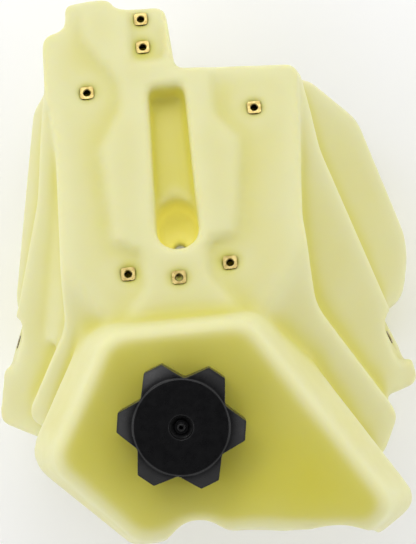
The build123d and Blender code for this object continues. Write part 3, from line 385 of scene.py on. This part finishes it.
# ---------------------------------------------------------------- the cap, with its moulded edges
CAP_AT = np.array([-7.5, -118.0])
CAP_TOP, RIM, PLATE = 150.0, 123.5, 146.0
DISC_R, LOBE_R, VALLEY_R, BORE_R = 32.6, 44.0, 34.2, 30.8
LOBES, LOBE_HALF, PHASE = 6, 8.6, -8.5
PITCH, THREAD_START, THREAD_DEPTH, THREAD_HALF, FLANK = 5.0, 130.5, 2.0, 1.1, 0.55
SLOPE_FROM, SLOPE_TOP, SLOPE_DROP, SLOPE_RUN = 32.9, 149.0, 4.1, 11.1  # the lobes' falling tops
EDGE = 0.55  # radius of the outline's upper edge
SKIRT_Z = 124.0
ROUND = 720


def cap_outline():
    """Radius of the cap's outline at ROUND headings: two corners to a lobe, rounded valleys."""
    corners = []
    for lobe in range(LOBES):
        heading = math.tau * lobe / LOBES
        for turn, radius in ((-LOBE_HALF, LOBE_R), (LOBE_HALF, LOBE_R), (30.0, VALLEY_R - 1.4)):
            at = heading + math.radians(turn)
            corners.append((radius * math.cos(at), radius * math.sin(at)))
    radii = np.zeros(ROUND)
    headings = math.tau * np.arange(ROUND) / ROUND
    for i, (x0, y0) in enumerate(corners):
        x1, y1 = corners[(i + 1) % len(corners)]
        start = math.atan2(y0, x0) % math.tau
        swing = (math.atan2(y1, x1) - math.atan2(y0, x0)) % math.tau
        on = (headings - start) % math.tau <= swing
        nx, ny = y1 - y0, x0 - x1
        radii[on] = (nx * x0 + ny * y0) / (nx * np.cos(headings[on]) + ny * np.sin(headings[on]))
    offsets = np.arange(-20, 21)

    def blurred(width):
        weights = np.exp(-((offsets / width) ** 2))
        return sum(w * np.roll(radii, k) for w, k in zip(weights / weights.sum(), offsets))

    valley = np.cos(LOBES * headings) * -0.5 + 0.5
    mix = np.clip((valley - 0.75) / 0.2, 0.0, 1.0)
    return (1 - mix) * blurred(1.1) + mix * blurred(6.0)


outline = cap_outline()
heading = math.tau * np.arange(ROUND) / ROUND
rows = []
# from the shaft hole up through the vent's recess and out over the disc
TOP_PROFILE = [
    (3.26, 142.0), (3.26, 144.8), (3.46, 145.0), (7.9, 145.0), (8.2, 145.3), (8.2, 149.6), (8.35, 149.9),
    (8.7, CAP_TOP), (20.0, CAP_TOP), (31.5, CAP_TOP), (32.0, 149.93), (32.35, 149.75), (DISC_R, 149.4),
    (32.75, 149.1),
]
# from the end of the threaded bore in over the plate to the hub
HUB_PROFILE = [(BORE_R, 145.7), (30.5, PLATE), (10.6, PLATE), (10.2, 145.6), (10.2, 142.3), (9.9, 142.0)]
for radius, z in TOP_PROFILE:
    rows.append((np.full(ROUND, radius), np.full(ROUND, z)))
for t in (0.06, 0.15, 0.28, 0.42, 0.56, 0.70, 0.82, 0.92, 1.0):
    radius = SLOPE_FROM + (outline - EDGE - SLOPE_FROM) * t
    rows.append((radius, SLOPE_TOP - SLOPE_DROP * ((radius - SLOPE_FROM) / SLOPE_RUN).clip(0, 1) ** 1.35))
lip = rows[-1][1]
for step in (20, 45, 70, 90):
    angle = math.radians(step)
    rows.append((outline - EDGE * (1 - math.sin(angle)), lip - EDGE * (1 - math.cos(angle))))
for share in (0.25, 0.5, 0.75, 1.0):
    rows.append((outline, lip - EDGE + (SKIRT_Z - lip + EDGE) * share))
rows.append((outline - 0.15, np.full(ROUND, 123.65)))
rows.append((outline - 0.5, np.full(ROUND, RIM)))
rows.append((np.full(ROUND, BORE_R + 0.4), np.full(ROUND, RIM)))
for z in np.arange(RIM + 0.4, PLATE - 0.3, 0.4):
    turns = (z - THREAD_START) / PITCH - heading / math.tau
    away = np.abs(turns - np.round(turns)) * PITCH
    on_thread = (np.round(turns) >= 0) & (np.round(turns) < 2)
    ridge = np.where(on_thread, np.clip((THREAD_HALF - away) / FLANK, 0.0, 1.0), 0.0)
    rows.append((BORE_R - THREAD_DEPTH * ridge, np.full(ROUND, z)))
for radius, z in HUB_PROFILE:
    rows.append((np.full(ROUND, radius), np.full(ROUND, z)))

turned = heading + math.radians(PHASE)
points = [
    np.stack([CAP_AT[0] + r * np.cos(turned), CAP_AT[1] + r * np.sin(turned), z], axis=1)
    for r, z in rows
]
points = np.concatenate(points) * MM
step = np.arange(ROUND)
after = (step + 1) % ROUND
faces = []
for row in range(len(rows)):
    low, high = row * ROUND, ((row + 1) % len(rows)) * ROUND
    faces += np.stack([low + step, high + step, high + after, low + after], axis=1).tolist()
cap_mesh = bpy.data.meshes.new("cap_skin")
cap_mesh.from_pydata(points.tolist(), [], faces)
cap_mesh.materials.append(black)
shade_smooth(cap_mesh)
cap_skin = bpy.data.objects.new("cap_skin", cap_mesh)
scene.collection.objects.link(cap_skin)
cap_mesh.update()
bm = bmesh.new()
bm.from_mesh(cap_mesh)
bmesh.ops.recalc_face_normals(bm, faces=bm.faces)
bm.to_mesh(cap_mesh)
bm.free()
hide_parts("cap_body")
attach(cap_skin, "cap")
